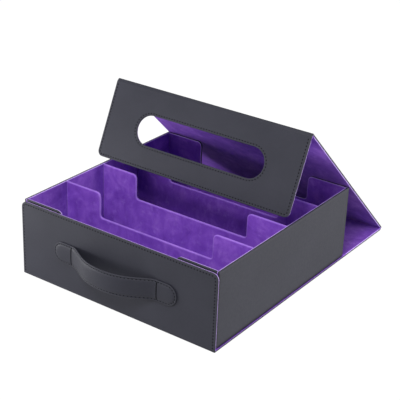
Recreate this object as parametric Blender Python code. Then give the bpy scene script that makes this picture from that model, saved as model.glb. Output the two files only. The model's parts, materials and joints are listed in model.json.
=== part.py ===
"""Four-row card storage box with a fold-over wrap lid, standing open like a tent.

A tray with three dividers is fixed to the bottom panel of a wrap. The wrap is five covered boards in one strip:
front flap, bottom panel, back panel, top panel and lid flap. The front flap stands against the tray, the back
panel lies on the table, the top panel leans on the tray's rear rim and the lid flap hangs from the apex.
Closed, the handle on the front flap passes through the window in the lid flap.

Metres, +Z up, +Y towards the back, origin under the middle of the tray.
"""

import math

import bmesh
import bpy

# Card rows and tray
ROW_COUNT = 4
ROW_WIDTH = 0.0805
ROW_LENGTH = 0.3335
WALL_HEIGHT = 0.1157
DIVIDER_DROP = 0.0006
WALL_BOARD = 0.0020
DIVIDER_BOARD = 0.0016
FLOOR_BOARD = 0.0020

# Scooped finger cut in the long walls
SCOOP_LENGTH = 0.202
SCOOP_DEPTH = 0.040
SCOOP_CREST_RADIUS = 0.008
SCOOP_TROUGH_RADIUS = 0.005

# Wrap panels
SHEET = 0.0007
WRAP_BOARD = 0.0015
WRAP_OVERHANG = 0.00175
FLAP_DROP = 0.0018
PANEL_CORNER_RADIUS = 0.009
LID_FLAP_LENGTH = 0.1170

# Clearances: glue lines and seams, then the closed wrap round the tray
GAP = 0.0003
FLAP_CLEARANCE = 0.0015
BACK_CLEARANCE = 0.0010
TOP_CLEARANCE = 0.0030
LID_CLEARANCE = 0.0012
LEAN_CLEARANCE = 0.00045

# Folds at rest, in degrees
TOP_CREASE_FOLD = 88.0
LID_CREASE_FOLD = 25.0
LID_FLAP_SLOPE = 66.0

# Carrying handle
HANDLE_LENGTH = 0.218
HANDLE_HEIGHT = 0.0325
HANDLE_RISE = 0.0608
HANDLE_SPAN = 0.152
HANDLE_BOW = 0.0255
HANDLE_CORE = 0.0008
HANDLE_HEM = 0.0030
HANDLE_BENDS = 22

# Lid window round the handle
WINDOW_BESIDE = 0.0040
WINDOW_BELOW = 0.0013
WINDOW_ABOVE = 0.0119

# Closing magnets
MAGNET_RADIUS = 0.0075
MAGNET_THICKNESS = 0.0015
MAGNET_INSET = 0.0325
MAGNET_RISE = 0.0220
MAGNET_SEGMENTS = 20

# Fineness of arcs, in degrees
ARC_STEP = 22.5

# Derived thicknesses
WRAP_THICK = WRAP_BOARD + 2 * (SHEET + GAP)
WALL_THICK = WALL_BOARD + 2 * (SHEET + GAP)
DIVIDER_THICK = DIVIDER_BOARD + 2 * (SHEET + GAP)
HALF_WRAP = WRAP_THICK / 2
EDGE_SETBACK = HALF_WRAP + GAP
FOLD_WIDTH = WRAP_THICK + GAP

# Derived tray sizes and levels
TRAY_WIDTH = ROW_LENGTH + 2 * WALL_THICK
TRAY_DEPTH = ROW_COUNT * ROW_WIDTH + (ROW_COUNT - 1) * DIVIDER_THICK + 2 * WALL_THICK
WRAP_WIDTH = TRAY_WIDTH + 2 * WRAP_OVERHANG
TRAY_FOOT = WRAP_THICK + GAP
RIM = TRAY_FOOT + WALL_HEIGHT
MAT_FOOT = TRAY_FOOT + FLOOR_BOARD + GAP

# Derived wrap lines: fold axes of the front flap and the back panel, then panel lengths between axes
FLAP_AXIS_Y = -(TRAY_DEPTH / 2 + FLAP_CLEARANCE + HALF_WRAP)
BACK_AXIS_Y = TRAY_DEPTH / 2 + BACK_CLEARANCE + HALF_WRAP
LID_PLANE_Y = FLAP_AXIS_Y - WRAP_THICK - LID_CLEARANCE
TOP_PLANE_Z = RIM + TOP_CLEARANCE + HALF_WRAP
FLAP_LENGTH = RIM - FLAP_DROP - HALF_WRAP
BACK_LENGTH = TOP_PLANE_Z - HALF_WRAP - FOLD_WIDTH
TOP_LENGTH = BACK_AXIS_Y - LID_PLANE_Y - FOLD_WIDTH

# Colour, roughness and metallic value of each material
LEATHERETTE = ((0.052, 0.053, 0.063), 0.55, 0.0)
SUEDE = ((0.190, 0.075, 0.480), 0.95, 0.0)
GREYBOARD = ((0.330, 0.310, 0.280), 0.90, 0.0)
WEBBING = ((0.030, 0.030, 0.034), 0.85, 0.0)
MAGNET = ((0.560, 0.560, 0.570), 0.30, 1.0)

# Turns the XY plane of an outline upright, to face front to back, or side to side with its depth along X
UPRIGHT = (math.pi / 2, 0.0, 0.0)
SIDEWAYS = (math.pi / 2, 0.0, math.pi / 2)
FLAT = (0.0, 0.0, 0.0)


# Scene

def clear_scene():
    for item in list(bpy.data.objects):
        bpy.data.objects.remove(item)


def new_collection(name):
    collection = bpy.data.collections.new(name)
    bpy.context.scene.collection.children.link(collection)
    return collection


def finish(name, look):
    colour, roughness, metallic = look
    material = bpy.data.materials.new(name)
    material.use_nodes = True
    shader = material.node_tree.nodes["Principled BSDF"]
    shader.inputs["Base Color"].default_value = (*colour, 1.0)
    shader.inputs["Roughness"].default_value = roughness
    shader.inputs["Metallic"].default_value = metallic
    return material


def pivot(name, y, z, angle):
    """An empty on a fold axis, turned so that its Y runs along the piece that folds."""
    empty = bpy.data.objects.new(name, None)
    empty.location = (0.0, y, z)
    empty.rotation_euler = (math.radians(angle), 0.0, 0.0)
    parts.objects.link(empty)
    return empty


def place(name, mesh, parent, look, rotation=FLAT, location=(0.0, 0.0, 0.0)):
    item = bpy.data.objects.new(name, mesh)
    item.parent = parent
    item.rotation_euler = rotation
    item.location = location
    mesh.materials.append(finish(name, look))
    parts.objects.link(item)
    return item


def cut(item, mesh):
    """Cuts a mesh, given in the piece's own frame, out of the piece."""
    cutter = bpy.data.objects.new(mesh.name, mesh)
    cutter.parent = item.parent
    cutter.rotation_euler = item.rotation_euler
    cutter.location = item.location
    cutter.hide_render = True
    cutter.display_type = "WIRE"
    cutters.objects.link(cutter)
    boolean = item.modifiers.new("cut", "BOOLEAN")
    boolean.operation = "DIFFERENCE"
    boolean.solver = "EXACT"
    boolean.object = cutter


# Outlines

def arc(x, y, radius, start, end):
    """Points on an arc between two angles in degrees, or its centre where the radius is nil."""
    if radius <= 0.0:
        return [(x, y)]
    steps = math.ceil(abs(end - start) / ARC_STEP)
    angles = [math.radians(start + (end - start) * i / steps) for i in range(steps + 1)]
    return [(x + radius * math.cos(a), y + radius * math.sin(a)) for a in angles]


def rectangle(width, low, high, low_radius=0.0, high_radius=0.0, inset=0.0):
    """A rectangle about x = 0, with round lower or upper corners, drawn in by the inset."""
    side = width / 2 - inset
    low, high = low + inset, high - inset
    near, far = max(low_radius - inset, 0.0), max(high_radius - inset, 0.0)
    return [
        *arc(-side + near, low + near, near, 180, 270),
        *arc(side - near, low + near, near, 270, 360),
        *arc(side - far, high - far, far, 0, 90),
        *arc(-side + far, high - far, far, 90, 180),
    ]


def stadium(length, middle, height, inset=0.0):
    """A slot with round ends about x = 0."""
    radius = height / 2 - inset
    reach = (length - height) / 2
    return [*arc(reach, middle, radius, -90, 90), *arc(-reach, middle, radius, 90, 270)]


def circle(x, y, radius):
    return arc(x, y, radius, 0, 360)[:-1]


def scooped_wall(length, height, inset=0.0, foot=0.0):
    """A wall on y = 0 with a wide round-cornered scoop in its top; the foot lies apart from the inset."""
    side, top = length / 2 - inset, height - inset
    lip = SCOOP_LENGTH / 2 + inset
    trough = height - SCOOP_DEPTH - inset
    crest_radius = SCOOP_CREST_RADIUS - inset
    trough_radius = SCOOP_TROUGH_RADIUS + inset
    return [
        (-side, foot),
        (side, foot),
        (side, top),
        *arc(lip + crest_radius, top - crest_radius, crest_radius, 90, 180),
        *arc(lip - trough_radius, trough + trough_radius, trough_radius, 0, -90),
        *arc(-lip + trough_radius, trough + trough_radius, trough_radius, -90, -180),
        *arc(-lip - crest_radius, top - crest_radius, crest_radius, 0, 90),
        (-side, top),
    ]


def half_bead(span, side):
    """Half of a round-ended strip between two fold axes on y = 0, on one side of its middle."""
    seam = GAP / 2
    cap = math.degrees(math.asin(seam / HALF_WRAP))
    points = [
        *arc(span, 0.0, HALF_WRAP, -cap, -90),
        *arc(0.0, 0.0, HALF_WRAP, -90, cap - 180),
    ]
    return [(x, -side * y) for x, y in points]


# Solids

def plate(name, loops, low, high):
    """A flat outline, with any holes, filled between two depths along Z."""
    curve = bpy.data.curves.new(name, "CURVE")
    curve.dimensions = "2D"
    curve.fill_mode = "BOTH"
    curve.extrude = abs(high - low) / 2
    for loop in loops:
        spline = curve.splines.new("POLY")
        spline.points.add(len(loop) - 1)
        spline.use_cyclic_u = True
        for point, (x, y) in zip(spline.points, loop):
            point.co = (x, y, 0.0, 1.0)
    outline = bpy.data.objects.new(name, curve)
    bpy.context.scene.collection.objects.link(outline)
    graph = bpy.context.evaluated_depsgraph_get()
    mesh = bpy.data.meshes.new_from_object(outline.evaluated_get(graph))
    bpy.data.objects.remove(outline)
    solid = bmesh.new()
    solid.from_mesh(mesh)
    bmesh.ops.remove_doubles(solid, verts=solid.verts, dist=1e-7)
    bmesh.ops.translate(solid, verts=solid.verts, vec=(0.0, 0.0, (low + high) / 2))
    bmesh.ops.recalc_face_normals(solid, faces=solid.faces)
    solid.to_mesh(mesh)
    solid.free()
    mesh.name = name
    return mesh


def disc(name):
    mesh = bpy.data.meshes.new(name)
    solid = bmesh.new()
    bmesh.ops.create_cone(
        solid,
        cap_ends=True,
        segments=MAGNET_SEGMENTS,
        radius1=MAGNET_RADIUS,
        radius2=MAGNET_RADIUS,
        depth=MAGNET_THICKNESS,
    )
    solid.to_mesh(mesh)
    solid.free()
    return mesh


def covered_board(name, outline, board, inner, parent, rotation=FLAT, location=(0.0, 0.0, 0.0), holes=()):
    """A board between an outer cover and an inner lining, whose turned edges meet at mid thickness.

    The outline is a function of an inset; the lining faces the sign of inner along the outline's Z.
    """
    half = board / 2 + GAP + SHEET
    for layer, side, look in (("cover", -inner, LEATHERETTE), ("lining", inner, SUEDE)):
        sheet = plate(f"{name}_{layer}", outline(0.0), side * GAP / 2, side * half)
        item = place(f"{name}_{layer}", sheet, parent, look, rotation, location)
        cut(item, plate(f"{name}_{layer}_pocket", outline(SHEET), -side * half, side * (half - SHEET)))
    loops = [*outline(SHEET + GAP), *holes]
    core = plate(f"{name}_board", loops, -board / 2, board / 2)
    place(f"{name}_board", core, parent, GREYBOARD, rotation, location)


def fold(name, parent, span=0.0):
    """The unboarded strip of cover and lining along a fold, with an axis at each long edge."""
    for layer, side, look in (("cover", -1, LEATHERETTE), ("lining", 1, SUEDE)):
        mesh = plate(f"{name}_{layer}", [half_bead(span, side)], -WRAP_WIDTH / 2, WRAP_WIDTH / 2)
        place(f"{name}_{layer}", mesh, parent, look, SIDEWAYS)


# Tray

def side_walls():
    for name, side in (("left_wall", -1), ("right_wall", 1)):
        covered_board(
            name,
            lambda inset: [rectangle(TRAY_DEPTH, 0.0, WALL_HEIGHT, inset=inset)],
            WALL_BOARD,
            -side,
            None,
            SIDEWAYS,
            (side * (TRAY_WIDTH - WALL_THICK) / 2, 0.0, TRAY_FOOT),
        )


def end_walls():
    length = ROW_LENGTH - 2 * GAP
    seats = [circle(x, MAGNET_RISE - TRAY_FOOT, MAGNET_RADIUS + GAP) for x in magnet_places()]
    for name, side, holes in (("front_wall", -1, seats), ("back_wall", 1, [])):
        covered_board(
            name,
            lambda inset: [scooped_wall(length, WALL_HEIGHT, inset, foot=inset)],
            WALL_BOARD,
            side,
            None,
            UPRIGHT,
            (0.0, side * (TRAY_DEPTH - WALL_THICK) / 2, TRAY_FOOT),
            holes,
        )


def row_front(row):
    """Front edge of a card row, counted from the front."""
    return -TRAY_DEPTH / 2 + WALL_THICK + row * (ROW_WIDTH + DIVIDER_THICK)


def dividers():
    """Boards that stand on the tray floor, each in a suede sleeve that is open below."""
    length = ROW_LENGTH - 2 * GAP
    height = RIM - DIVIDER_DROP - MAT_FOOT
    half = DIVIDER_THICK / 2
    for row in range(1, ROW_COUNT):
        spot = (0.0, row_front(row) - half, MAT_FOOT)
        sleeve = plate(f"divider_{row}_sleeve", [scooped_wall(length, height)], -half, half)
        item = place(f"divider_{row}_sleeve", sleeve, None, SUEDE, UPRIGHT, spot)
        inside = [scooped_wall(length, height, SHEET, foot=-SHEET)]
        cut(item, plate(f"divider_{row}_inside", inside, SHEET - half, half - SHEET))
        core = [scooped_wall(length, height, SHEET + GAP)]
        board = plate(f"divider_{row}_board", core, -DIVIDER_BOARD / 2, DIVIDER_BOARD / 2)
        place(f"divider_{row}_board", board, None, GREYBOARD, UPRIGHT, spot)


def tray_floor():
    length = ROW_LENGTH - 2 * GAP
    reach = TRAY_DEPTH / 2 - WALL_THICK - GAP
    board = plate("floor_board", [rectangle(length, -reach, reach)], TRAY_FOOT, TRAY_FOOT + FLOOR_BOARD)
    place("floor_board", board, None, GREYBOARD)
    for row in range(ROW_COUNT):
        front = row_front(row) + GAP
        outline = [rectangle(length, front, front + ROW_WIDTH - 2 * GAP)]
        mat = plate(f"row_mat_{row + 1}", outline, MAT_FOOT, MAT_FOOT + SHEET)
        place(f"row_mat_{row + 1}", mat, None, SUEDE)


# Wrap

def bottom_panel():
    low, high = FLAP_AXIS_Y + EDGE_SETBACK, BACK_AXIS_Y - EDGE_SETBACK
    covered_board(
        "bottom_panel",
        lambda inset: [rectangle(WRAP_WIDTH, low, high, inset=inset)],
        WRAP_BOARD,
        1,
        None,
        location=(0.0, 0.0, HALF_WRAP),
    )
    fold("front_fold", pivot("front_fold_pivot", FLAP_AXIS_Y, HALF_WRAP, -45.0))
    fold("rear_lower_fold", pivot("rear_lower_fold_pivot", BACK_AXIS_Y, HALF_WRAP, 0.0))


def front_flap():
    hinge = pivot("front_flap_pivot", FLAP_AXIS_Y, HALF_WRAP, 90.0)
    seats = [circle(x, MAGNET_RISE - HALF_WRAP, MAGNET_RADIUS + GAP) for x in magnet_places()]
    covered_board(
        "front_flap",
        lambda inset: [
            rectangle(WRAP_WIDTH, EDGE_SETBACK, FLAP_LENGTH, 0.0, PANEL_CORNER_RADIUS, inset)
        ],
        WRAP_BOARD,
        -1,
        hinge,
        holes=seats,
    )
    handle(hinge)
    return hinge


def lean_angle():
    """Slope of the top panel when its lining just clears the tray's rear rim, with its lower fold's slope."""
    slope = 45.0
    for _ in range(30):
        lower_fold = 180.0 - slope - TOP_CREASE_FOLD
        y = BACK_AXIS_Y + BACK_LENGTH + FOLD_WIDTH * math.cos(math.radians(lower_fold))
        z = HALF_WRAP + FOLD_WIDTH * math.sin(math.radians(lower_fold))
        run, rise = y - TRAY_DEPTH / 2, RIM - z
        clearance = math.asin((HALF_WRAP + LEAN_CLEARANCE) / math.hypot(run, rise))
        slope = math.degrees(math.atan2(rise, run) + clearance)
    return slope, lower_fold


def onward(y, z, angle, length):
    """The point at a length along a slope from a point, seen from the side."""
    turn = math.radians(angle)
    return y + length * math.cos(turn), z + length * math.sin(turn)


def lid():
    """Back panel, top panel and lid flap, with a double fold between each pair."""
    slope, lower_fold = lean_angle()
    top_angle = 180.0 - slope
    flap_angle = 180.0 + LID_FLAP_SLOPE
    lid_fold_angle = flap_angle - LID_CREASE_FOLD
    back_line = (BACK_AXIS_Y, HALF_WRAP)
    rear_line = onward(*back_line, 0.0, BACK_LENGTH)
    top_line = onward(*rear_line, lower_fold, FOLD_WIDTH)
    lid_line = onward(*top_line, top_angle, TOP_LENGTH)
    flap_line = onward(*lid_line, lid_fold_angle, FOLD_WIDTH)
    for name, line, angle, length in (
        ("back_panel", back_line, 0.0, BACK_LENGTH),
        ("top_panel", top_line, top_angle, TOP_LENGTH),
    ):
        outline = rectangle_of(length)
        covered_board(name, outline, WRAP_BOARD, 1, pivot(f"{name}_pivot", *line, angle))
    fold("rear_upper_fold", pivot("rear_upper_fold_pivot", *rear_line, lower_fold), FOLD_WIDTH)
    fold("lid_fold", pivot("lid_fold_pivot", *lid_line, lid_fold_angle), FOLD_WIDTH)
    return lid_flap(pivot("lid_flap_pivot", *flap_line, flap_angle))


def rectangle_of(length):
    """Outline of a panel between two folds, as a function of its inset."""
    return lambda inset: [rectangle(WRAP_WIDTH, EDGE_SETBACK, length - EDGE_SETBACK, inset=inset)]


def lid_flap(hinge):
    """The hanging flap, measured along its slope from its fold; closed, its fold lies in the top panel's plane."""
    window_near = TOP_PLANE_Z - (HANDLE_RISE + HANDLE_HEIGHT / 2 + WINDOW_ABOVE)
    window_far = TOP_PLANE_Z - (HANDLE_RISE - HANDLE_HEIGHT / 2 - WINDOW_BELOW)
    window_middle = (window_near + window_far) / 2
    window_length = HANDLE_LENGTH + 2 * WINDOW_BESIDE
    seats = [circle(x, TOP_PLANE_Z - MAGNET_RISE, MAGNET_RADIUS + GAP) for x in magnet_places()]

    def outline(inset):
        edge = rectangle(WRAP_WIDTH, EDGE_SETBACK, LID_FLAP_LENGTH, 0.0, PANEL_CORNER_RADIUS, inset)
        return [edge, stadium(window_length, window_middle, window_far - window_near, -inset)]

    covered_board("lid_flap", outline, WRAP_BOARD, 1, hinge, holes=seats)
    return hinge


# Handle

def bow(x):
    """Rise of the strap off the flap and its slope, nil at the sewn ends."""
    share = 2 * x / HANDLE_SPAN
    if abs(share) >= 1.0:
        return 0.0, 0.0
    square = share * share
    rise = HANDLE_BOW * (1 - square) ** 2 * (1 + square)
    slope = -HANDLE_BOW * 2 * share * (1 - square) * (1 + 3 * square) * 2 / HANDLE_SPAN
    return rise, slope


def strap(name, inset, low, high, parent, look):
    """One layer of the strap, at its depth off the flap's cover, bent along the bow."""
    middle = HANDLE_RISE - HALF_WRAP
    mesh = plate(name, [stadium(HANDLE_LENGTH, middle, HANDLE_HEIGHT, inset)], low, high)
    solid = bmesh.new()
    solid.from_mesh(mesh)
    for i in range(HANDLE_BENDS + 1):
        x = HANDLE_SPAN * (i / HANDLE_BENDS - 0.5)
        everything = [*solid.verts, *solid.edges, *solid.faces]
        bmesh.ops.bisect_plane(solid, geom=everything, plane_co=(x, 0.0, 0.0), plane_no=(1.0, 0.0, 0.0))
    for vert in solid.verts:
        rise, slope = bow(vert.co.x)
        tilt = math.atan(slope)
        vert.co.x -= vert.co.z * math.sin(tilt)
        vert.co.z = HALF_WRAP + rise + vert.co.z * math.cos(tilt)
    solid.to_mesh(mesh)
    solid.free()
    place(name, mesh, parent, look)


def handle(hinge):
    """A stiffening strip of webbing between two leatherette layers."""
    depth = GAP
    for name, inset, thickness, look in (
        ("handle_backing", 0.0, SHEET, LEATHERETTE),
        ("handle_core", HANDLE_HEM, HANDLE_CORE, WEBBING),
        ("handle_strap", 0.0, SHEET, LEATHERETTE),
    ):
        strap(name, inset, depth, depth + thickness, hinge, look)
        depth += thickness + GAP


# Magnets

def magnet_places():
    reach = WRAP_WIDTH / 2 - MAGNET_INSET
    return (-reach, reach)


def magnets(name, parent, y, rotation=FLAT, location=(0.0, 0.0, 0.0)):
    for side, x in zip(("left", "right"), magnet_places()):
        spot = (location[0] + x, location[1], location[2] + y) if parent is None else (x, y, 0.0)
        place(f"{name}_magnet_{side}", disc(f"{name}_magnet_{side}"), parent, MAGNET, rotation, spot)


clear_scene()
parts = new_collection("card_storage_box")
cutters = new_collection("cutters")
side_walls()
end_walls()
dividers()
tray_floor()
bottom_panel()
flap_hinge = front_flap()
lid_hinge = lid()
magnets("tray", None, MAGNET_RISE, UPRIGHT, (0.0, -(TRAY_DEPTH - WALL_THICK) / 2, 0.0))
magnets("flap", flap_hinge, MAGNET_RISE - HALF_WRAP)
magnets("lid", lid_hinge, TOP_PLANE_Z - MAGNET_RISE)
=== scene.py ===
"""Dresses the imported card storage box: turned skins, soft folds, sewing and a bowed handle.

Metres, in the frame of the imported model. A skin is drawn in its panel's own axes: across, along,
and out to the lining. Depth is measured from the middle of the panel's thickness towards the
skin's own face.
"""

import json
import math

import bmesh
import bpy
from mathutils import Matrix, Vector

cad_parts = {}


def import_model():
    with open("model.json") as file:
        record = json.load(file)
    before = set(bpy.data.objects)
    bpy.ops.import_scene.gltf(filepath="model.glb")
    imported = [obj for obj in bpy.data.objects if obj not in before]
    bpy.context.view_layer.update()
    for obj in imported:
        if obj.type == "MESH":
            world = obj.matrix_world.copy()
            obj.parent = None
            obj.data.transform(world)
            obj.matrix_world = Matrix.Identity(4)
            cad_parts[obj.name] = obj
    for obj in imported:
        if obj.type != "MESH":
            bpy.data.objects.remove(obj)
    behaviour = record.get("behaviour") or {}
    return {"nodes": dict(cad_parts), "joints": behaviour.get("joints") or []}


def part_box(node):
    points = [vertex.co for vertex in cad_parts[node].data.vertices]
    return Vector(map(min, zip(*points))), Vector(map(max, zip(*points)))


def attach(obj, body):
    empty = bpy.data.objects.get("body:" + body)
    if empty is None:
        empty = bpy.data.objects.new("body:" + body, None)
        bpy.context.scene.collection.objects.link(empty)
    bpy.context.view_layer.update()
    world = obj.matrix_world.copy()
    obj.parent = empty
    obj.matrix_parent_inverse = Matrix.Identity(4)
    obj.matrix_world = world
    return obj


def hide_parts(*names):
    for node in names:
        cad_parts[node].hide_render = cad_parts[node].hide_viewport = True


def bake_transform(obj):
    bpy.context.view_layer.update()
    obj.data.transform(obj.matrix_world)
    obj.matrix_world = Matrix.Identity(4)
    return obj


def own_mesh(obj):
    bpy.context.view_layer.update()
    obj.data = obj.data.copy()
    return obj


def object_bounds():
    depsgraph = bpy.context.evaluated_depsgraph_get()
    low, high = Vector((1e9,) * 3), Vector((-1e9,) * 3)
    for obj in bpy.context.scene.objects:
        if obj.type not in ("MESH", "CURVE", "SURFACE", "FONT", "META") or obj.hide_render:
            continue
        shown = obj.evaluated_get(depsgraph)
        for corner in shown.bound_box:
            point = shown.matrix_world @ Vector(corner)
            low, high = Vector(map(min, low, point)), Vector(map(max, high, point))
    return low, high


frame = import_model()
cad_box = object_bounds()

# Sheets, turned edges and seams
SHEET = 0.0007
SEAM = 0.00015  # half the gap between cover and lining
COVER_EDGE = 0.0010
LINING_EDGE = 0.0007
LINING_SETBACK = 0.0002
SEAM_EDGE = 0.0002
SEAM_RISE = 0.32  # share of half the thickness
SEAM_RINGS = 2  # rings at the seam, before the round edge
ROUND_STEPS = 4
SUPPORT = 0.0004  # flat margin past a rounding
SLEEVE_ROUND = 0.85
MAT_ROUND = 0.7
FLUSH = 0.02  # share of an inset that a fold's end takes
FADE = 0.006  # length over which an edge's share changes
ARC_STEPS = 8
SLOT_STEPS = 24
SMOOTH_ANGLE = math.radians(42)

# Shares of paler edge, which is a painted highlight on the suede, and of dark crevice, which is painted
# shade, and the widths that they reach past an edge
SEAM_PALE = 0.6
FACE_PALE = 0.5
POCKET_PALE = 0.3
SLEEVE_HIGHLIGHT = 0.22
UNDER_TRAY_PALE = 0.32
UNDER_TRAY_PALE_FROM = 0.8  # edge share from which the edge of the panel under the tray stays pale, dimmed; below it, painted shade
GLUED_SHADE = -1.0
CREVICE = 0.9
HALF_DARK = 0.5
SHADE_WIDTH = 4 * SUPPORT
DUSK_WIDTH = 0.0045

# Folds: where a turn counts as flat, its stations, and the valley of a lining
FLAT_TURN = 0.1  # radians
FLAT_STATIONS = (-0.6, -0.3, 0.0, 0.3, 0.6)
VALLEY_SPREAD = 0.15
VALLEY_RISE = 0.02

# Outline of the panels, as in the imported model
CORNER_RADIUS = 0.009
SCOOP_LENGTH = 0.202
SCOOP_DEPTH = 0.040
SCOOP_CREST_RADIUS = 0.008
SCOOP_TROUGH_RADIUS = 0.005

# Sewing
STITCH_INSET = 0.0037
WINDOW_STITCH_INSET = 0.0032
STITCH_PITCH = 0.0048
BACKSTITCH_PITCH = 0.0023
STITCH_LENGTH = 0.0025
STITCH_RADIUS = 0.00095
STITCH_FLAT = 0.45
STITCH_SIDES = 6
STITCH_SINK = 0.00028
GROOVE_WIDTH = 0.0022
GROOVE_DEPTH = 0.00012

# Shares of width and depth across a sewn groove
GROOVE_SHAPE = ((-0.5, 0.0), (-0.2, 0.75), (0.0, 1.0), (0.2, 0.75), (0.5, 0.0))

# Shares of length, sink and girth along one stitch
STITCH_SHAPE = (
    (-0.50, -1.00, 0.45),
    (-0.32, 0.10, 0.95),
    (0.00, 0.45, 1.00),
    (0.32, 0.10, 0.95),
    (0.50, -1.00, 0.45),
)

# Handle
HANDLE_SPAN = 0.152  # between the seams that hold the strap
HANDLE_EDGE = 0.0013
HANDLE_CROWN = 0.0011
HANDLE_SHOULDER = 0.6  # power of the crown's curve
HANDLE_FLAT = 0.82  # share of the half height where the crown's rings end
HANDLE_GROOVE = 0.00045
HANDLE_GROOVE_WIDTH = 0.0009
HANDLE_GROOVE_STATIONS = (-0.7, 0.0, 0.5, 1.0)
HANDLE_STITCH_INSET = 0.0027
HANDLE_BENDS = 56

# Camera of the photograph: metres, degrees and millimetres
CAMERA_PLACE = (0.8773, -1.2327, 0.8259)
CAMERA_AZIMUTH = 34.91
CAMERA_ELEVATION = 25.37
CAMERA_ROLL = 2.28
CAMERA_LENS = 102.3
SENSOR_WIDTH = 36.0

# Studio
AMBIENT = 0.51  # light of the surroundings
FLOOR_SIZE = 8.0
FLOOR_GAP = 0.0003
FLOOR_GREY = (0.56, 0.56, 0.56, 1.0)
FLOOR_WHITE = 1.08
FLOOR_GLOW = 0.9  # share of white in the floor as the camera sees it
WHITE = (1.0, 1.0, 1.0, 1.0)

# Name, place, target, width in metres and power in watts of each lamp
LAMPS = (
    ("key", (0.35, -1.5, 2.1), (0.0, 0.0, 0.1), 0.90, 51.0),
    ("fill", (-0.62, -0.50, 0.05), (-0.17, -0.17, 0.05), 0.3, 5.4),
    ("side", (1.45, 0.75, 0.12), (0.17, 0.0, 0.06), 0.7, 29.5),
)

# Sockets of a mix node for colours, which have the same names as those for other values
MIX_SHARE, MIX_FIRST, MIX_SECOND, MIX_RESULT = 0, 6, 7, 2

# Usual span of a noise value, and how dark the painted shade of a full crevice is
NOISE_LOW, NOISE_HIGH = 0.3, 0.7
CREVICE_SHADE = 0.85

ACROSS = Vector((1.0, 0.0, 0.0))
ALONG = Vector((0.0, 1.0, 0.0))
UP = Vector((0.0, 0.0, 1.0))


# Materials

def material(name):
    look = bpy.data.materials.new(name)
    look.use_nodes = True
    return look, look.node_tree, look.node_tree.nodes["Principled BSDF"]


def feed(tree, socket, value):
    """Links a socket to another node's output, or stores a plain value in it."""
    if isinstance(value, bpy.types.NodeSocket):
        tree.links.new(value, socket)
    else:
        socket.default_value = value


def set_inputs(tree, node, **inputs):
    """Feeds a node's sockets by name, with _ for a space, and gives the node back."""
    for name, value in inputs.items():
        feed(tree, node.inputs[name.replace("_", " ")], value)
    return node


def add(tree, kind, **inputs):
    return set_inputs(tree, tree.nodes.new(kind), **inputs)


def noise(tree, place, scale, detail=3.0, roughness=0.55, distortion=0.0):
    node = add(tree, "ShaderNodeTexNoise", Vector=place, Scale=scale, Detail=detail,
               Roughness=roughness, Distortion=distortion)
    return node.outputs["Fac"]


def math_node(tree, operation, first, second):
    node = tree.nodes.new("ShaderNodeMath")
    node.operation = operation
    feed(tree, node.inputs[0], first)
    feed(tree, node.inputs[1], second)
    return node.outputs[0]


def ramp(tree, value, stops):
    """A colour ramp through stops of place and colour."""
    node = tree.nodes.new("ShaderNodeValToRGB")
    tree.links.new(value, node.inputs["Fac"])
    marks = node.color_ramp.elements
    while len(marks) < len(stops):
        marks.new(0.5)
    for mark, (place, colour) in zip(marks, stops):
        mark.position = place
        mark.color = (*colour, 1.0)
    return node.outputs["Color"]


def mix_colour(tree, share, first, second, blend="MIX"):
    """A blend of two colours; a plain colour has three values."""
    node = tree.nodes.new("ShaderNodeMix")
    node.data_type = "RGBA"
    node.blend_type = blend
    for index, value in ((MIX_SHARE, share), (MIX_FIRST, first), (MIX_SECOND, second)):
        feed(tree, node.inputs[index], (*value, 1.0) if isinstance(value, tuple) else value)
    return node.outputs[MIX_RESULT]


def stretch(tree, place, scale):
    return add(tree, "ShaderNodeMapping", Vector=place, Scale=scale).outputs["Vector"]


def map_range(tree, value, low, high):
    """A noise value, with its usual span stretched from low to high."""
    node = add(tree, "ShaderNodeMapRange", Value=value, From_Min=NOISE_LOW, From_Max=NOISE_HIGH,
               To_Min=low, To_Max=high)
    return node.outputs["Result"]


def bump(tree, height, strength, distance, normal=None):
    node = add(tree, "ShaderNodeBump", Height=height, Strength=strength, Distance=distance)
    if normal is not None:
        tree.links.new(normal, node.inputs["Normal"])
    return node.outputs["Normal"]


def object_place(tree):
    return tree.nodes.new("ShaderNodeTexCoord").outputs["Object"]


def edge_share(tree):
    """How far a point lies on a paler edge, a painted highlight on the suede, or below nil in a crevice
    of painted shade, from the mesh.
    """
    node = tree.nodes.new("ShaderNodeAttribute")
    node.attribute_name = "edge"
    return node.outputs["Fac"]


def painted_crevice_shade(tree, colour, dark):
    """A colour with painted shade: dark where the mesh marks a crevice."""
    shaded = math_node(tree, "MULTIPLY", edge_share(tree), -CREVICE_SHADE)
    return mix_colour(tree, math_node(tree, "MAXIMUM", shaded, 0.0), colour, dark)


def leatherette():
    """Charcoal coated cloth: fine pebble grain, slight cloudiness and paler turned edges."""
    look, tree, shader = material("leatherette")
    place = object_place(tree)
    cloud = noise(tree, place, 16.0, 3.0)
    pore = noise(tree, place, 900.0, 2.0)
    colour = ramp(tree, cloud, ((0.30, (0.0190, 0.0195, 0.0285)), (0.70, (0.0240, 0.0245, 0.0350))))
    pores = ramp(tree, pore, ((0.35, (0.55, 0.55, 0.55)), (0.60, (1.0, 1.0, 1.0))))
    colour = mix_colour(tree, 0.15, colour, pores, "MULTIPLY")
    # Paler along turned edges.
    edge_paling = math_node(tree, "MULTIPLY", edge_share(tree), 0.15)
    colour = mix_colour(tree, edge_paling, colour, (0.060, 0.060, 0.076))
    grain = add(tree, "ShaderNodeTexVoronoi", Vector=place, Scale=950.0)
    grain.feature = "SMOOTH_F1"
    pebble = bump(tree, grain.outputs["Distance"], 0.42, 0.00022)
    set_inputs(
        tree, shader,
        # Painted shade in crevices.
        Base_Color=painted_crevice_shade(tree, colour, (0.004, 0.004, 0.006)),
        Roughness=map_range(tree, noise(tree, place, 240.0, 2.0), 0.52, 0.60),
        Specular_IOR_Level=0.21,
        Normal=bump(tree, noise(tree, place, 60.0, 2.0), 0.05, 0.0012, pebble),
    )
    return look


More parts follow.
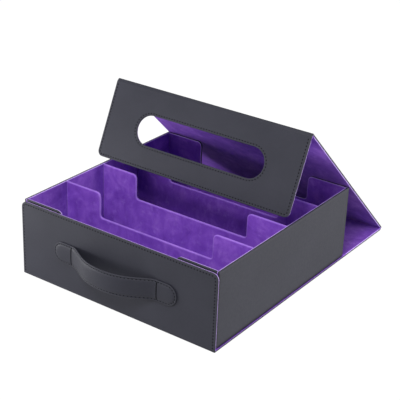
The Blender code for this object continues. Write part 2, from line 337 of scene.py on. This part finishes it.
def suede():
    """Violet microsuede: brushed nap in light and dark patches, scuffs, fine fuzz, and edges with a
    painted highlight.
    """
    look, tree, shader = material("suede")
    place = object_place(tree)
    nap = noise(tree, place, 26.0, 4.0, 0.60, 0.9)
    strokes = noise(tree, stretch(tree, place, (1.0, 1.0, 0.35)), 95.0, 3.0, 0.60, 0.6)
    fuzz = noise(tree, place, 1500.0, 2.0, 0.70)
    broad = math_node(tree, "MULTIPLY", nap, 0.74)
    brushed = math_node(tree, "ADD", broad, math_node(tree, "MULTIPLY", strokes, 0.26))
    colour = ramp(tree, brushed, (
        (0.36, (0.160, 0.046, 0.430)),
        (0.50, (0.210, 0.068, 0.520)),
        (0.64, (0.285, 0.110, 0.610)),
    ))
    marks = noise(tree, place, 60.0, 5.0, 0.68)
    scuffs = ramp(tree, marks, ((0.55, (0.0, 0.0, 0.0)), (0.72, (0.45, 0.45, 0.45))))
    colour = mix_colour(tree, scuffs, colour, (0.380, 0.190, 0.690))
    fibres = ramp(tree, fuzz, ((0.30, (0.70, 0.70, 0.70)), (0.65, (1.0, 1.0, 1.0))))
    colour = mix_colour(tree, 0.5, colour, fibres, "MULTIPLY")
    # Painted highlight: lavender where the nap on an edge catches the light.
    edge_highlight = math_node(tree, "MAXIMUM", edge_share(tree), 0.0)
    colour = mix_colour(tree, edge_highlight, colour, (0.560, 0.400, 0.840))
    soft = bump(tree, fuzz, 0.30, 0.00030)
    set_inputs(
        tree, shader,
        # Painted shade in crevices.
        Base_Color=painted_crevice_shade(tree, colour, (0.020, 0.010, 0.050)),
        Roughness=0.92,
        Specular_IOR_Level=0.12,
        Sheen_Weight=0.16,
        Sheen_Roughness=0.45,
        Sheen_Tint=(0.72, 0.55, 1.0, 1.0),
        Normal=bump(tree, brushed, 0.15, 0.0015, soft),
    )
    return look


def greyboard():
    """Pressed board: grey with darker and paler fibre specks."""
    look, tree, shader = material("greyboard")
    place = object_place(tree)
    speck = noise(tree, place, 620.0, 3.0, 0.70)
    colour = ramp(tree, speck, (
        (0.34, (0.22, 0.20, 0.175)),
        (0.50, (0.33, 0.31, 0.28)),
        (0.66, (0.43, 0.41, 0.37)),
    ))
    set_inputs(tree, shader, Base_Color=colour, Roughness=0.90, Normal=bump(tree, speck, 0.25, 0.0002))
    return look


def sewing_thread():
    """Dark bonded thread, slightly uneven."""
    look, tree, shader = material("thread")
    strand = noise(tree, object_place(tree), 2600.0, 2.0)
    colour = ramp(tree, strand, ((0.35, (0.003, 0.003, 0.004)), (0.65, (0.010, 0.010, 0.012))))
    set_inputs(tree, shader, Base_Color=colour, Roughness=0.80, Specular_IOR_Level=0.04,
               Normal=bump(tree, strand, 0.4, 0.0001))
    return look


def plated_steel():
    """Nickel plate with faint brushing."""
    look, tree, shader = material("plated_steel")
    brushing = noise(tree, stretch(tree, object_place(tree), (1.0, 0.05, 1.0)), 2200.0, 2.0)
    colour = ramp(tree, brushing, ((0.3, (0.50, 0.50, 0.51)), (0.7, (0.60, 0.60, 0.61))))
    set_inputs(tree, shader, Base_Color=colour, Metallic=1.0,
               Roughness=map_range(tree, brushing, 0.22, 0.36))
    return look


LEATHERETTE = leatherette()
SUEDE = suede()
GREYBOARD = greyboard()
THREAD = sewing_thread()
PLATED_STEEL = plated_steel()

# Name, side, look, slot, edge radius and setback of the two skins over a board
LAYERS = (
    ("cover", -1, LEATHERETTE, "leatherette", COVER_EDGE, 0.0),
    ("lining", 1, SUEDE, "suede", LINING_EDGE, LINING_SETBACK),
)


# Places in the frame

JOINT_LINES = {joint["name"]: Vector(joint["pos_m"]) for joint in frame["joints"]}


def reach(node, origin, direction):
    """Nearest and farthest point of a CAD node along a direction."""
    spans = [(vert.co - origin).dot(direction) for vert in frame["nodes"][node].data.vertices]
    return min(spans), max(spans)


def run_of(node, towards):
    """Direction along a flat CAD board, square to the box's width."""
    normal = max(frame["nodes"][node].data.polygons, key=lambda face: face.area).normal
    along = normal.cross(ACROSS).normalized()
    return along if along.dot(towards) > 0.0 else -along


def axes(across, along, origin):
    """Matrix from a panel's own axes to the model's frame."""
    turn = Matrix((across, along, across.cross(along))).transposed()
    return Matrix.Translation(origin) @ turn.to_4x4()


FRONT_LINE = JOINT_LINES["front_flap_fold"]
BACK_LINE = JOINT_LINES["back_panel_lift"]
REAR_LINE = JOINT_LINES["top_panel_fold"]
LID_LINE = JOINT_LINES["lid_fold_crease"]
FLAP_LINE = JOINT_LINES["lid_flap_fold"]
WRAP_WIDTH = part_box("bottom_panel_cover")[1].x * 2
WRAP_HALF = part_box("bottom_panel_lining")[1].z / 2
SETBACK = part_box("back_panel_cover")[0].y - BACK_LINE.y

TOP_RUN = run_of("top_panel_board", LID_LINE - REAR_LINE)
FLAP_RUN = run_of("lid_flap_board", -UP)
TOP_LINE = LID_LINE + TOP_RUN * (reach("top_panel_cover", LID_LINE, TOP_RUN)[0] - SETBACK)


# Outlines: points across and along with a share that is nil at a fold and below nil in a crevice, which
# gets painted shade

def arc(x, y, radius, start, end, steps=ARC_STEPS):
    angles = [math.radians(start + (end - start) * i / steps) for i in range(steps + 1)]
    return [(x + radius * math.cos(a), y + radius * math.sin(a), 1.0) for a in angles]


def panel_outline(low, high, open_far=False):
    """Outline of a wrap panel between folds, or between a fold and a free end with round corners."""

    def outline(inset):
        side = WRAP_WIDTH / 2 - inset
        near = low + FLUSH * inset
        lower = [(-side, near, 0.0), (side, near, 0.0), (side, low + FADE, 1.0)]
        if open_far:
            radius = CORNER_RADIUS - inset
            far = high - inset - radius
            upper = [*arc(side - radius, far, radius, 0, 90), *arc(radius - side, far, radius, 90, 180)]
        else:
            far = high - FLUSH * inset
            fold_edge = [(side, far, 0.0), (-side, far, 0.0)]
            upper = [(side, high - FADE, 1.0), *fold_edge, (-side, high - FADE, 1.0)]
        return [*lower, *upper, (-side, low + FADE, 1.0)]

    return outline


def plain_outline(width, low, high):
    """A rectangle with mitred corners, with painted shade in the crevice along its foot and both ends.
    """

    def outline(inset):
        side = width / 2 - inset
        return [
            (-side, low + inset, -1.0),
            (side, low + inset, -1.0),
            (side, high - FADE, -1.0),
            (side, high - inset, 1.0),
            (-side, high - inset, 1.0),
            (-side, high - FADE, -1.0),
        ]

    return outline


def scooped_outline(length, height):
    """A wall with a wide round-cornered scoop in its top."""

    def outline(inset):
        side, top = length / 2 - inset, height - inset
        lip = SCOOP_LENGTH / 2 + inset
        trough = height - SCOOP_DEPTH - inset
        crest, bottom = SCOOP_CREST_RADIUS - inset, SCOOP_TROUGH_RADIUS + inset
        return [
            (-side, inset, 0.0),
            (side, inset, 0.0),
            (side, top, 1.0),
            *arc(lip + crest, top - crest, crest, 90, 180),
            *arc(lip - bottom, trough + bottom, bottom, 0, -90),
            *arc(bottom - lip, trough + bottom, bottom, -90, -180),
            *arc(-lip - crest, top - crest, crest, 0, 90),
            (-side, top, 1.0),
        ]

    return outline


def stadium(length, middle, height, inset, straights=1):
    """A slot with round ends, with points along its straight sides."""
    radius = height / 2 - inset
    stretch_half = (length - height) / 2
    steps = [stretch_half * (2 * i / straights - 1) for i in range(1, straights)]
    return [
        *arc(stretch_half, middle, radius, -90, 90, SLOT_STEPS),
        *[(-x, middle + radius, 1.0) for x in steps],
        *arc(-stretch_half, middle, radius, 90, 270, SLOT_STEPS),
        *[(x, middle - radius, 1.0) for x in steps],
    ]


# Skins

def seam_depth(half, layer):
    """Depth of a skin's seam: the cover is turned up over most of the edge and meets the lining."""
    rise = min(SEAM_RISE * half, half - SHEET - 2 * SEAM)
    return SEAM + (rise if layer == "lining" else -rise)


def quarter_round(radius):
    """Insets and drops below the face at even turns round an edge, from its side to its face."""
    turns = [math.pi / 2 * step / ROUND_STEPS for step in range(ROUND_STEPS + 1)]
    return [(radius * (1.0 - math.cos(turn)), radius * (1.0 - math.sin(turn))) for turn in turns]


def edge_rings(half, radius, setback, seam=0.0):
    """Inset, depth and edge share of the rings of a turned edge, from the seam to the face."""
    radius = min(radius, half - seam - SEAM_EDGE)
    rings = [(setback + SEAM_EDGE, seam, SEAM_PALE), (setback, seam + SEAM_EDGE, 1.0)]
    for step, (inset, drop) in enumerate(quarter_round(radius)):
        edge_tone = 1.0 - (1.0 - FACE_PALE) * step / ROUND_STEPS
        rings.append((setback + inset, half - drop, edge_tone))
    return rings


def piece(name, solid, look, slot, body, *nodes):
    """Makes an object of a closed shell, puts it on its body and hides the CAD nodes that it stands
    for.
    """
    bmesh.ops.recalc_face_normals(solid, faces=solid.faces)
    mesh = bpy.data.meshes.new(name)
    solid.to_mesh(mesh)
    solid.free()
    mesh.shade_smooth()
    mesh.set_sharp_from_angle(angle=SMOOTH_ANGLE)
    mesh.materials.append(look)
    item = bpy.data.objects.new(name, mesh)
    bpy.context.scene.collection.objects.link(item)
    if nodes:
        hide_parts(*nodes)
    if body:
        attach(item, body)
    return item


def join_rows(solid, rows):
    """Quads between closed rows of equally many points."""
    count = len(rows[0])
    for near, far in zip(rows, rows[1:]):
        for i in range(count):
            j = (i + 1) % count
            solid.faces.new((near[i], near[j], far[j], far[i]))


def rim_edges(solid, row):
    return [solid.edges.get((row[i - 1], row[i])) for i in range(len(row))]


def shell(outlines, rings, place, side):
    """A closed shell through rings of each outline, filled across its first and last rings."""
    solid = bmesh.new()
    edge = solid.verts.layers.float.new("edge")
    first, last = [], []
    for outline in outlines:
        rows = []
        for inset, depth, edge_tone, dip in rings:
            row = []
            for u, v, free in outline(inset):
                vert = solid.verts.new(place @ Vector((u, v, side * (depth - dip * free))))
                vert[edge] = edge_tone * free
                row.append(vert)
            rows.append(row)
        join_rows(solid, rows)
        first += rim_edges(solid, rows[0])
        last += rim_edges(solid, rows[-1])
    for rim in (first, last):
        bmesh.ops.triangle_fill(solid, use_beauty=True, edges=rim)
    return solid


def skin_rings(half, radius, setback, seam, sewn, shade):
    """Rings from the board's pocket over the turned edge to the face, grooved where it is sewn."""
    rings = [(SHEET, half - SHEET, 0.0, 0.0), (SHEET, seam, POCKET_PALE, 0.0)]
    for inset, depth, edge_tone in edge_rings(half, radius, setback, seam):
        # Under the tray: painted shade beside the edge, and only a dim pale edge.
        under_tray_tone = shade if edge_tone < UNDER_TRAY_PALE_FROM else UNDER_TRAY_PALE * edge_tone
        rings.append((inset, depth, under_tray_tone if shade < 0.0 else edge_tone, 0.0))
    turned = setback + radius
    rings.append((turned + SUPPORT, half, shade, 0.0))
    if sewn:
        for share, dip in GROOVE_SHAPE:
            rings.append((STITCH_INSET + share * GROOVE_WIDTH, half, 0.0, dip * GROOVE_DEPTH))
        rings.append((STITCH_INSET + GROOVE_WIDTH, half, 0.0, 0.0))
    # Painted shade that fades away from a crevice.
    elif shade > 0.0:
        rings.append((turned + SHADE_WIDTH, half, HALF_DARK * shade, 0.0))
        rings.append((turned + DUSK_WIDTH, half, 0.0, 0.0))
    else:
        rings.append((turned + SHADE_WIDTH, half, shade, 0.0))
    return rings


def covered(name, body, outlines, half, place, sewn=False, shade=0.0):
    """Cover and lining over a board inside them, with painted shade by the edges; a shade below nil is
    for a panel under the tray.
    """
    for layer, side, look, slot, radius, setback in LAYERS:
        seam = seam_depth(half, layer)
        shaded = shade if shade < 0.0 or layer == "cover" else 0.0
        rings = skin_rings(half, radius, setback, seam, sewn and layer == "cover", shaded)
        solid = shell(outlines, rings, place, side)
        piece(f"{name}_{layer}_skin", solid, look, slot, body, f"{name}_{layer}")


# Tray

def walls():
    """Covered walls: plain at both sides, scooped at the front and back."""
    for name, axis, across in (
        ("left_wall", 0, ALONG),
        ("right_wall", 0, -ALONG),
        ("front_wall", 1, -ACROSS),
        ("back_wall", 1, ACROSS),
    ):
        low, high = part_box(f"{name}_cover")
        inner_low, inner_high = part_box(f"{name}_lining")
        near, far = min(low[axis], inner_low[axis]), max(high[axis], inner_high[axis])
        origin = Vector((0.0, 0.0, low.z))
        origin[axis] = (near + far) / 2
        length, height = high[1 - axis] - low[1 - axis], high.z - low.z
        plain = axis == 0
        outline = plain_outline(length, 0.0, height) if plain else scooped_outline(length, height)
        # Painted shade along the side walls' foot and ends.
        shade = CREVICE if plain else 0.0
        covered(name, "tray", [outline], (far - near) / 2, axes(across, UP, origin), shade=shade)


def dividers():
    """Boards in suede sleeves, soft along their top edges."""
    for row in (1, 2, 3):
        low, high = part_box(f"divider_{row}_sleeve")
        half = (high.y - low.y) / 2
        radius = half * SLEEVE_ROUND
        turned = edge_rings(half, radius, 0.0)[SEAM_RINGS:]
        # Painted highlight along the sleeve's top edge.
        front = [(inset, -depth, SLEEVE_HIGHLIGHT * edge_tone, 0.0) for inset, depth, edge_tone in reversed(turned)]
        back = [(inset, depth, SLEEVE_HIGHLIGHT * edge_tone, 0.0) for inset, depth, edge_tone in turned]
        outer = radius + SUPPORT
        rings = [(outer * 2, -half, 0.0, 0.0), (outer, -half, 0.0, 0.0), *front]
        rings += [*back, (outer, half, 0.0, 0.0), (outer * 2, half, 0.0, 0.0)]
        outline = scooped_outline(high.x - low.x, high.z - low.z)
        place = axes(ACROSS, UP, Vector((0.0, (low.y + high.y) / 2, low.z)))
        solid = shell([outline], rings, place, 1)
        nodes = (f"divider_{row}_sleeve", f"divider_{row}_board")
        piece(f"divider_{row}_skin", solid, SUEDE, "suede", "tray", *nodes)


def mats():
    """Suede mats on the floor of the rows, round along their upper edges."""
    for row in (1, 2, 3, 4):
        low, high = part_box(f"row_mat_{row}")
        thick = high.z - low.z
        radius = thick * MAT_ROUND
        rings = [(0.0, 0.0, 0.0, 0.0)]
        rings += [(inset, thick - drop, 0.0, 0.0) for inset, drop in quarter_round(radius)]
        rings.append((radius + SUPPORT, thick, 0.0, 0.0))
        place = axes(ACROSS, ALONG, Vector((0.0, (low.y + high.y) / 2, low.z)))
        outline = plain_outline(high.x - low.x, (low.y - high.y) / 2, (high.y - low.y) / 2)
        solid = shell([outline], rings, place, 1)
        piece(f"row_mat_{row}_skin", solid, SUEDE, "suede", "tray", f"row_mat_{row}")


# Wrap

def lid_window(inset):
    """The slot in the lid flap, measured from the frame; its inset goes outwards into the flap."""
    return stadium(WINDOW_LENGTH, WINDOW_MIDDLE, WINDOW_HEIGHT, -inset)


def window_of(node, place):
    """Length, middle and height of a CAD sheet's hole, whose pocket is wider by the sheet all round."""
    inverse = place.inverted()
    points = [inverse @ vert.co for vert in frame["nodes"][node].data.vertices]
    side = max(point.x for point in points)
    low, high = min(point.y for point in points), max(point.y for point in points)
    margin = CORNER_RADIUS + STITCH_INSET
    inside = [p for p in points if abs(p.x) < side - margin and low + margin < p.y < high - margin]
    left, right = min(p.x for p in inside), max(p.x for p in inside)
    bottom, top = min(p.y for p in inside), max(p.y for p in inside)
    return right - left - 2 * SHEET, (top + bottom) / 2, top - bottom - 2 * SHEET


PLACES = {
    "bottom_panel": axes(ACROSS, ALONG, FRONT_LINE),
    "front_flap": axes(-ACROSS, UP, FRONT_LINE),
    "back_panel": axes(ACROSS, ALONG, BACK_LINE),
    "top_panel": axes(ACROSS, TOP_RUN, TOP_LINE),
    "lid_flap": axes(ACROSS, FLAP_RUN, FLAP_LINE),
}
SPANS = {
    name: reach(f"{name}_cover", place.to_translation(), place.to_3x3().col[1])
    for name, place in PLACES.items()
}
WINDOW_LENGTH, WINDOW_MIDDLE, WINDOW_HEIGHT = window_of("lid_flap_cover", PLACES["lid_flap"])


def panels():
    """The wrap's five covered boards; both flaps are sewn round their free end."""
    for name, place in PLACES.items():
        under_tray, free_end = name == "bottom_panel", name in ("front_flap", "lid_flap")
        outlines = [panel_outline(*SPANS[name], free_end)]
        if name == "lid_flap":
            outlines.append(lid_window)
        # The panel under the tray gets painted shade where the tray stands on it.
        body, shade = ("tray", GLUED_SHADE) if under_tray else (name, 0.0)
        covered(name, body, outlines, WRAP_HALF, place, free_end, shade)


# Folds

def out_of(direction):
    """The lining's side of a strip that runs in a direction."""
    return ACROSS.cross(direction)


def cover_turn(line, before, after, depth):
    """Points of the cover round a fold line: an arc, or a straight run where the fold is flat."""
    start, end = -out_of(before), -out_of(after)
    if start.angle(end) < FLAT_TURN:
        return [line + before * (SETBACK * share) + start * depth for share in FLAT_STATIONS]
    if depth < 0.0:
        valley = line + (start + end) * (depth / (1.0 + start.dot(end)))
        shares = [2.0 * i / ARC_STEPS - 1.0 for i in range(ARC_STEPS + 1)]
        return [valley + (before if share < 0.0 else after) * (share * SEAM_EDGE) for share in shares]
    return [line + start.slerp(end, i / ARC_STEPS) * depth for i in range(ARC_STEPS + 1)]


def lining_turn(line, before, after, depth):
    """Points of the lining in the valley of a fold line."""
    start, end = out_of(before), out_of(after)
    valley = line + (start + end) * (depth / (1.0 + start.dot(end)))
    spread = VALLEY_SPREAD * SETBACK
    bottom = valley + (start + end) * (-VALLEY_RISE * depth)
    return [valley - before * spread, bottom, valley + after * spread]


def fold_path(start, bends, end, depth, side):
    """Points along a fold from panel to panel: a bend is a line and the runs before and after it."""
    turn = lining_turn if side > 0 else cover_turn
    points = [start + out_of(bends[0][1]) * (side * depth)]
    for line, before, after in bends:
        points += turn(line, before, after, depth)
    return [*points, end + out_of(bends[-1][2]) * (side * depth)]


def close_strip(solid, row):
    """Quads across a thin row, from its outer run to its inner run."""
    for i in range(len(row) // 2 - 1):
        solid.faces.new((row[i], row[i + 1], row[-2 - i], row[-1 - i]))


def fold(name, start, bends, end, nodes):
    """Cover and lining across one crease, bent between the two panels that it joins, as they stand at
    rest.
    """
    for layer, side, look, slot, radius, setback in LAYERS:
        edge_depth = seam_depth(WRAP_HALF, layer)
        turned = edge_rings(WRAP_HALF, radius, setback, edge_depth)[SEAM_RINGS:]
        stations = [(inset - WRAP_WIDTH / 2, depth, edge_tone) for inset, depth, edge_tone in turned]
        stations += [(-x, depth, edge_tone) for x, depth, edge_tone in reversed(stations)]
        solid = bmesh.new()
        edge = solid.verts.layers.float.new("edge")
        seam = fold_path(start, bends, end, edge_depth, side)
        rows = []
        for x, depth, edge_tone in stations:
            run = [*fold_path(start, bends, end, depth, side), *reversed(seam)]
            row = [solid.verts.new(point + ACROSS * x) for point in run]
            for vert in row:
                vert[edge] = float(edge_tone == 1.0)
            rows.append(row)
        join_rows(solid, rows)
        for row in (rows[0], rows[-1]):
            close_strip(solid, row)
        replaced = [f"{node}_{layer}" for node in nodes]
        item = piece(f"{name}_{layer}_skin", solid, look, slot, None, *replaced)
        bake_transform(item)


def folds():
    """The wrap's four folds; the lid's is in two pieces, one for each of its creases."""
    down = -UP
    rear_run = (TOP_LINE - REAR_LINE).normalized()
    lid_run = (FLAP_LINE - LID_LINE).normalized()
    middle = (LID_LINE + FLAP_LINE) / 2
    front_bends = [(FRONT_LINE, down, ALONG)]
    lower_bends = [(BACK_LINE, ALONG, ALONG)]
    upper_bends = [(REAR_LINE, ALONG, rear_run), (TOP_LINE, rear_run, TOP_RUN)]
    lid_bends = [(LID_LINE, TOP_RUN, lid_run)]
    flap_bends = [(FLAP_LINE, lid_run, FLAP_RUN)]
    fold("front_fold", FRONT_LINE - down * SETBACK, front_bends, FRONT_LINE + ALONG * SETBACK,
         ["front_fold"])
    fold("rear_lower_fold", BACK_LINE - ALONG * SETBACK, lower_bends, BACK_LINE + ALONG * SETBACK,
         ["rear_lower_fold"])
    fold("rear_upper_fold", REAR_LINE - ALONG * SETBACK, upper_bends, TOP_LINE + TOP_RUN * SETBACK,
         ["rear_upper_fold"])
    fold("lid_fold_upper", LID_LINE - TOP_RUN * SETBACK, lid_bends, middle,
         ["lid_fold"])
    fold("lid_fold_lower", middle, flap_bends, FLAP_LINE + FLAP_RUN * SETBACK,
         [])


# Sewing

def spaced(points, closed, pitch):
    """Middles and directions of stitches at an even pitch along a run of points."""
    run = [Vector(point[:2]) for point in points]
    if closed:
        run.append(run[0])
    lengths = [(b - a).length for a, b in zip(run, run[1:])]
    total = sum(lengths)
    count = max(1, round(total / pitch))
    stitches, index, passed = [], 0, 0.0
    for i in range(count):
        target = total * (i + 0.5) / count
        while passed + lengths[index] < target:
            passed += lengths[index]
            index += 1
        heading = (run[index + 1] - run[index]).normalized()
        stitches.append((run[index] + heading * (target - passed), heading))
    return stitches


def stitch(solid, surface, middle, heading):
    """One raised stitch that dips into the skin at both ends."""
    rows = []
    for share, lift, girth in STITCH_SHAPE:
        spot, normal = surface(*(middle + heading * (share * STITCH_LENGTH)))
        onward, _ = surface(*(middle + heading * (share * STITCH_LENGTH + STITCH_RADIUS)))
        beside = normal.cross(onward - spot).normalized()
        centre = spot + normal * (lift * STITCH_SINK)
        row = []
        for side in range(STITCH_SIDES):
            turn = 2.0 * math.pi * side / STITCH_SIDES
            offset = beside * math.cos(turn) + normal * (STITCH_FLAT * math.sin(turn))
            row.append(solid.verts.new(centre + offset * (girth * STITCH_RADIUS)))
        rows.append(row)
    join_rows(solid, rows)
    solid.faces.new(rows[0])
    solid.faces.new(rows[-1])


def thread(name, runs, surface, body):
    """Stitches along runs of points, on a surface that gives a place and its normal."""
    solid = bmesh.new()
    for points, closed, pitch in runs:
        for middle, heading in spaced(points, closed, pitch):
            stitch(solid, surface, middle, heading)
    return piece(name, solid, THREAD, "leatherette", body)


def flat_surface(place):
    """Surface of a panel's cover, in the bottom of its sewn groove."""
    normal = -place.to_3x3().col[2]
    return lambda u, v: (place @ Vector((u, v, GROOVE_DEPTH - WRAP_HALF)), normal)


def sewing():
    """Thread round the free ends of both flaps and round the window."""
    for name in ("front_flap", "lid_flap"):
        edge = panel_outline(*SPANS[name], True)(STITCH_INSET)
        runs = [(edge[1:] + edge[:1], False, STITCH_PITCH)]
        if name == "lid_flap":
            runs.append((lid_window(WINDOW_STITCH_INSET), True, STITCH_PITCH))
        thread(f"{name}_thread", runs, flat_surface(PLACES[name]), name)


# Handle

HANDLE_LOW, HANDLE_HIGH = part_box("handle_backing")
HANDLE_LENGTH = HANDLE_HIGH.x - HANDLE_LOW.x
HANDLE_HEIGHT = HANDLE_HIGH.z - HANDLE_LOW.z
HANDLE_MIDDLE = (HANDLE_HIGH.z + HANDLE_LOW.z) / 2 - FRONT_LINE.z
FLAP_FACE = FRONT_LINE.y - WRAP_HALF
STRAP_LIFT = FLAP_FACE - HANDLE_HIGH.y
STRAP_THICK = FLAP_FACE - STRAP_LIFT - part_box("handle_strap")[1].y
STRAP_MID = STRAP_THICK / 2
HANDLE_BOW = HANDLE_HIGH.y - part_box("handle_backing")[0].y


def bow(x):
    """Rise of the strap off the flap and its slope, nil at the sewn ends."""
    share = 2.0 * x / HANDLE_SPAN
    if abs(share) >= 1.0:
        return 0.0, 0.0
    square = share * share
    rise = HANDLE_BOW * (1.0 - square) ** 2 * (1.0 + square)
    slope = -HANDLE_BOW * 2.0 * share * (1.0 - square) * (1.0 + 3.0 * square) * 2.0 / HANDLE_SPAN
    return rise, slope


def on_strap(x, v, depth):
    """A point at a depth over the strap's back, bent with the bow, and the strap's normal there."""
    rise, slope = bow(x)
    tilt = math.atan(slope)
    place = PLACES["front_flap"]
    normal = Vector((-math.sin(tilt), 0.0, -math.cos(tilt)))
    spot = Vector((x, v, -WRAP_HALF - STRAP_LIFT - rise)) + normal * depth
    return place @ spot, place.to_3x3() @ normal


def strap_lip(inset):
    """Share of the strap's half thickness that its round edge has reached."""
    lip = min(inset / HANDLE_EDGE, 1.0)
    return math.sqrt(1.0 - (1.0 - lip) ** 2)


def strap_depth(inset):
    """Height of the strap's face over its back: a round edge, a sewn groove and a low crown."""
    beyond = (inset - HANDLE_STITCH_INSET) / (HANDLE_HEIGHT / 2 - HANDLE_STITCH_INSET)
    crown = HANDLE_CROWN * math.sin(math.pi / 2 * max(beyond, 0.0) ** HANDLE_SHOULDER)
    groove = HANDLE_GROOVE * math.exp(-((inset - HANDLE_STITCH_INSET) / HANDLE_GROOVE_WIDTH) ** 2)
    return STRAP_MID * (1.0 + strap_lip(inset)) - groove + crown


def strap_insets():
    """Insets of the strap's rings: round the edge, across the sewn groove and up the crown."""
    edge = [inset for inset, _ in quarter_round(HANDLE_EDGE)]
    groove = [HANDLE_STITCH_INSET + share * HANDLE_GROOVE_WIDTH for share in HANDLE_GROOVE_STATIONS]
    rise = HANDLE_HEIGHT / 2 * HANDLE_FLAT - groove[-1]
    crown = [groove[-1] + rise * (step / ROUND_STEPS) for step in range(1, ROUND_STEPS + 1)]
    return [*edge, *groove, *crown]


def strap_outline(inset):
    return stadium(HANDLE_LENGTH, HANDLE_MIDDLE, HANDLE_HEIGHT, inset, HANDLE_BENDS)


def close_slot(solid, row):
    """Quads across a slot-shaped row, from its lower side to its upper side."""
    count = len(row)
    right = SLOT_STEPS // 2
    pairs = [(row[(right + i) % count], row[(right - i) % count]) for i in range(count // 2 + 1)]
    solid.faces.new((pairs[0][0], pairs[1][0], pairs[1][1]))
    for (a, b), (c, d) in zip(pairs[1:-2], pairs[2:-1]):
        solid.faces.new((a, c, d, b))
    solid.faces.new((pairs[-2][0], pairs[-1][0], pairs[-2][1]))


def strap_skin():
    """The strap's back and face in one closed skin, bent with the bow."""
    solid = bmesh.new()
    edge = solid.verts.layers.float.new("edge")
    back = [(inset, STRAP_MID * (1.0 - strap_lip(inset))) for inset in strap_insets()]
    face = [(inset, strap_depth(inset)) for inset in strap_insets()]
    rows = []
    for inset, depth in [*reversed(back), *face[1:]]:
        row = []
        for x, v, _ in strap_outline(inset):
            vert = solid.verts.new(on_strap(x, v, depth)[0])
            vert[edge] = max(0.0, 1.0 - inset / HANDLE_EDGE)
            row.append(vert)
        rows.append(row)
    join_rows(solid, rows)
    for row in (rows[0], rows[-1]):
        close_slot(solid, row)
    return piece("handle_skin", solid, LEATHERETTE, "leatherette", "front_flap",
                 "handle_strap", "handle_core", "handle_backing")


def strap_face(x, v):
    """A point on the strap's face and the strap's normal there."""
    past = max(abs(x) - (HANDLE_LENGTH - HANDLE_HEIGHT) / 2, 0.0)
    inset = HANDLE_HEIGHT / 2 - math.hypot(past, v - HANDLE_MIDDLE)
    return on_strap(x, v, strap_depth(inset))


def strap_thread():
    """Thread round the strap's edge, and across it where its ends are sewn down."""
    half = HANDLE_HEIGHT / 2 - HANDLE_STITCH_INSET
    runs = [(strap_outline(HANDLE_STITCH_INSET), True, STITCH_PITCH)]
    for x in (-HANDLE_SPAN / 2, HANDLE_SPAN / 2):
        seam = [(x, HANDLE_MIDDLE - half), (x, HANDLE_MIDDLE + half)]
        runs.append((seam, False, BACKSTITCH_PITCH))
    return thread("handle_thread", runs, strap_face, "front_flap")


def handle():
    """A stiffened strap with round tabs and its thread, each given a mesh of its own."""
    for soft in (strap_skin(), strap_thread()):
        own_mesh(soft)


# Stage

def seen_rays(tree):
    """One for rays from the camera and for mirror and glass rays."""
    path = tree.nodes.new("ShaderNodeLightPath")
    total = math_node(tree, "ADD", path.outputs["Is Camera Ray"], path.outputs["Is Glossy Ray"])
    total = math_node(tree, "ADD", total, path.outputs["Is Transmission Ray"])
    return math_node(tree, "MINIMUM", total, 1.0)


def floor():
    """A grey floor that glows white to the camera and in mirrors."""
    look, tree, shader = material("floor")
    set_inputs(tree, shader, Base_Color=FLOOR_GREY, Roughness=0.9, Specular_IOR_Level=0.0)
    white = add(tree, "ShaderNodeEmission", Color=WHITE, Strength=FLOOR_WHITE)
    share = math_node(tree, "MULTIPLY", seen_rays(tree), FLOOR_GLOW)
    blend = tree.nodes.new("ShaderNodeMixShader")
    for socket, source in zip(blend.inputs, (share, shader.outputs[0], white.outputs[0])):
        tree.links.new(source, socket)
    tree.links.new(blend.outputs[0], tree.nodes["Material Output"].inputs["Surface"])
    half = FLOOR_SIZE / 2
    corners = [(-half, -half, 0), (half, -half, 0), (half, half, 0), (-half, half, 0)]
    mesh = bpy.data.meshes.new("floor")
    mesh.from_pydata(corners, [], [(0, 1, 2, 3)])
    mesh.materials.append(look)
    ground = bpy.data.objects.new("floor", mesh)
    ground.location.z = cad_box[0].z - FLOOR_GAP
    bpy.context.scene.collection.objects.link(ground)


def world():
    """White to the camera and in mirrors, dimmer as a source of light."""
    studio = bpy.data.worlds.new("studio")
    studio.use_nodes = True
    bpy.context.scene.world = studio
    tree = studio.node_tree
    extra = math_node(tree, "MULTIPLY", seen_rays(tree), 1.0 - AMBIENT)
    strength = math_node(tree, "ADD", extra, AMBIENT)
    set_inputs(tree, tree.nodes["Background"], Color=WHITE, Strength=strength)


def lamps():
    for name, place, target, width, power in LAMPS:
        data = bpy.data.lights.new(name, "AREA")
        data.shape = "DISK"
        data.size = width
        data.energy = power
        light = bpy.data.objects.new(name, data)
        light.location = place
        light.rotation_euler = (Vector(target) - Vector(place)).to_track_quat("-Z", "Y").to_euler()
        bpy.context.scene.collection.objects.link(light)


def camera():
    azimuth = Matrix.Rotation(math.radians(CAMERA_AZIMUTH), 4, "Z")
    elevation = Matrix.Rotation(math.radians(90.0 - CAMERA_ELEVATION), 4, "X")
    roll = Matrix.Rotation(math.radians(CAMERA_ROLL), 4, "Z")
    data = bpy.data.cameras.new("camera")
    data.lens = CAMERA_LENS
    data.sensor_width = SENSOR_WIDTH
    view = bpy.data.objects.new("camera", data)
    view.matrix_world = Matrix.Translation(CAMERA_PLACE) @ azimuth @ elevation @ roll
    bpy.context.scene.collection.objects.link(view)
    bpy.context.scene.camera = view


def finishes():
    """Looks of the CAD nodes that stay: boards and magnets."""
    for name, node in frame["nodes"].items():
        if name.endswith("_board"):
            node.data.materials.clear()
            node.data.materials.append(GREYBOARD)
        elif "magnet" in name:
            node.data.materials.clear()
            node.data.materials.append(PLATED_STEEL)


camera()
finishes()
walls()
dividers()
mats()
panels()
folds()
sewing()
handle()
floor()
world()
lamps()

bpy.context.scene.view_settings.view_transform = "Standard"
